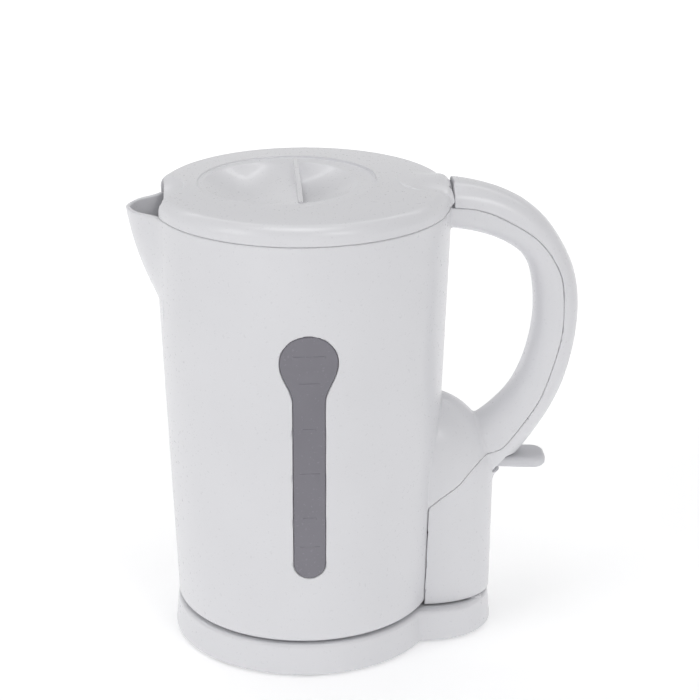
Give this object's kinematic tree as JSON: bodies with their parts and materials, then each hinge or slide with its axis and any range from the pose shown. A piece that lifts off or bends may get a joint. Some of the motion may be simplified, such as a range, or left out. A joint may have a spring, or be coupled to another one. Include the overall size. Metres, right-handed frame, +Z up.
{
  "type": "electric kettle",
  "caption": "Cordless jug kettle with a V spout, hinged lid, loop handle, rocker switch and keyhole water window, on a round power base with a connector tower.",
  "frame": {"origin": "middle of the footprint, on the plane of the feet", "axes": "+Z up, +X towards the handle, -X towards the spout, -Y the side with the water window"},
  "size_m": [0.2289, 0.15, 0.2426],
  "materials": {
    "white_plastic": "satin-gloss moulded polypropylene",
    "window_plastic": "grey translucent moulding",
    "lever_plastic": "satin moulded",
    "black_plastic": "glass-filled moulding",
    "filter_plastic": "satin moulded",
    "rubber": "matt",
    "silicone": "matt silicone",
    "brass": "stamped",
    "steel": "plated",
    "element_steel": "bright sheath"
  },
  "bodies": {
    "base": {"base_top": "white_plastic", "base_bottom": "white_plastic", "connector_tower": "white_plastic", "terminal_block": "black_plastic", "cord_gland": "rubber", "cord_clamp": "black_plastic", "contact_live": "brass", "contact_neutral": "brass", "contact_earth": "brass", "foot_1": "rubber", "foot_2": "rubber", "foot_3": "rubber", "foot_4": "rubber", "foot_5": "rubber", "foot_6": "rubber", "base_screw_1": "steel", "base_screw_2": "steel", "base_screw_3": "steel", "clamp_screw_1": "steel", "clamp_screw_2": "steel"},
    "jug": {"jug_body": "white_plastic", "handle_cover": "white_plastic", "water_window": "window_plastic", "spout_filter": "filter_plastic", "heating_element": "element_steel", "element_flange": "steel", "element_gasket": "silicone", "control_unit": "black_plastic", "steam_bimetal": "brass", "toggle_spring": "steel", "blade_live": "brass", "blade_neutral": "brass", "blade_earth": "brass", "control_screw_1": "steel", "control_screw_2": "steel", "control_screw_3": "steel", "cover_screw_1": "steel", "cover_screw_2": "steel", "switch_pivot": "steel", "lid_pin": "steel"},
    "lid": {"lid_cover": "white_plastic", "lid_liner": "white_plastic"},
    "switch": {"switch_lever": "lever_plastic"}
  },
  "joints": [
    {"name": "kettle_lift", "type": "slide", "parent": "base", "child": "jug", "axis": [0, 0, 1], "range_m": [0, 0.0635]},
    {"name": "lid_hinge", "type": "hinge", "parent": "jug", "child": "lid", "pos_m": [0.04358, 0, 0.2374], "axis": [0, 1, 0], "range_deg": [0, 85]},
    {"name": "switch_rock", "type": "hinge", "parent": "jug", "child": "switch", "pos_m": [0.06407, 0, 0.0911], "axis": [0, 1, 0], "range_deg": [0, 10]}
  ]
}
